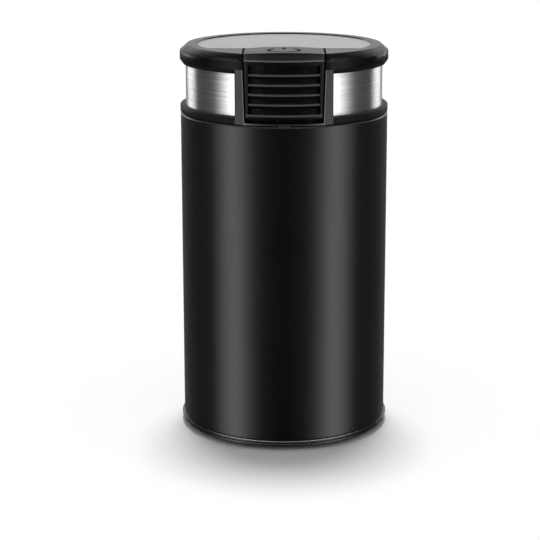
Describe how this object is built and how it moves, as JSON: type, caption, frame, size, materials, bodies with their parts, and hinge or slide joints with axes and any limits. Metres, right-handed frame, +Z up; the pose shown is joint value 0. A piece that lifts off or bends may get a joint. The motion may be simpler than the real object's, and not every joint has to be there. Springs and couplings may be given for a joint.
{
  "type": "electric spice grinder",
  "caption": "Round electric blade grinder for spices and coffee: lift-off lid with a window and press button, steel bowl, blade, motor and switch.",
  "frame": {"origin": "centre of the round body, on the plane that the feet stand on", "axes": "+Z up, along the body and the motor shaft; the press button faces -Y, +X to its right"},
  "size_m": [0.0958, 0.0958, 0.1778],
  "materials": {
    "body_black": "satin black, smooth",
    "lid_black": "satin black moulded",
    "button_black": "fine matt black moulded",
    "base_black": "satin black moulded",
    "brushed_band": "brushed along its length",
    "bowl_steel": "spun, bright",
    "clear_plastic": "clear, polished",
    "inner_plastic": "dark grey moulded",
    "foot_rubber": "matt",
    "grey_silicone": "soft, matt",
    "hard_steel": "ground",
    "lamination": "stacked sheets",
    "copper": "varnished wire",
    "bronze": "sintered",
    "bracket_alloy": "pressed sheet",
    "holder_brass": "drawn",
    "carbon": "pressed carbon",
    "zinc_steel": "zinc plated",
    "fan_plastic": "moulded",
    "white_nylon": "moulded",
    "switch_plastic": "moulded",
    "capacitor_yellow": "moulded box",
    "brown_wire": "extruded",
    "blue_wire": "extruded"
  },
  "bodies": {
    "grinder_base": {"bottom_cover": "base_black", "cover_screws": "zinc_steel", "cord_grommet": "foot_rubber", "cord_clamp": "inner_plastic", "clamp_screws": "zinc_steel", "body_shell": "body_black", "bowl_housing": "inner_plastic", "grinding_bowl": "bowl_steel", "shaft_seal": "foot_rubber", "stator_core": "lamination", "field_coil_right": "copper", "field_coil_left": "copper", "upper_bracket": "bracket_alloy", "lower_bracket": "bracket_alloy", "upper_bush": "bronze", "lower_bush": "bronze", "brush_holder_rear": "holder_brass", "brush_holder_front": "holder_brass", "carbon_brush_rear": "carbon", "carbon_brush_front": "carbon", "brush_spring_rear": "zinc_steel", "brush_spring_front": "zinc_steel", "through_bolts": "zinc_steel", "motor_mounts": "foot_rubber", "mount_screws": "zinc_steel", "micro_switch": "switch_plastic", "rod_spring": "zinc_steel", "capacitor": "capacitor_yellow", "terminal_block": "white_nylon", "live_lead": "brown_wire", "switched_lead": "brown_wire", "neutral_lead": "blue_wire", "foot_1": "foot_rubber", "foot_2": "foot_rubber", "foot_3": "foot_rubber", "foot_4": "foot_rubber"},
    "rotor": {"motor_shaft": "hard_steel", "armature_core": "lamination", "armature_winding": "copper", "commutator": "copper", "cooling_fan": "fan_plastic", "blade_hub": "hard_steel", "blade": "hard_steel", "blade_nut": "hard_steel"},
    "lid": {"lid_frame": "lid_black", "steel_band": "brushed_band", "clear_cup": "clear_plastic", "lid_gasket": "grey_silicone", "button_spring_left": "zinc_steel", "button_spring_right": "zinc_steel"},
    "press_button": {"lid_button": "button_black"},
    "push_rod": {"push_rod": "white_nylon"},
    "switch_lever": {"switch_lever": "zinc_steel"},
    "switch_plunger": {"switch_button": "white_nylon"}
  },
  "joints": [
    {"name": "lid_lift", "type": "slide", "parent": "grinder_base", "child": "lid", "axis": [0, 0, 1], "range_m": [0, 0.045]},
    {"name": "button_press", "type": "slide", "parent": "lid", "child": "press_button", "axis": [0, 0, -1], "range_m": [0, 0.0018], "stiffness_N_per_m": 900, "springref_m": -0.001, "deforming": ["button_spring_left", "button_spring_right"]},
    {"name": "rod_press", "type": "slide", "parent": "grinder_base", "child": "push_rod", "axis": [0, 0, -1], "range_m": [0, 0.0019], "stiffness_N_per_m": 400, "springref_m": -0.001, "deforming": ["rod_spring"]},
    {"name": "lever_swing", "type": "hinge", "parent": "grinder_base", "child": "switch_lever", "pos_m": [0.0135, -0.0364, 0.0978], "axis": [0, -1, 0], "range_deg": [0, 7.6]},
    {"name": "plunger_press", "type": "slide", "parent": "grinder_base", "child": "switch_plunger", "axis": [0, 0, -1], "range_m": [0, 0.001], "stiffness_N_per_m": 5, "springref_m": -0.0005},
    {"name": "blade_spin", "type": "hinge", "parent": "grinder_base", "child": "rotor", "pos_m": [0, 0, 0.09], "axis": [0, 0, 1], "continuous": true}
  ],
  "couplings": [
    {"joint": "rod_press", "follows": "button_press", "ratio": 1},
    {"joint": "lever_swing", "follows": "button_press", "rad_per_m": 72.88},
    {"joint": "plunger_press", "follows": "button_press", "ratio": 0.55}
  ]
}
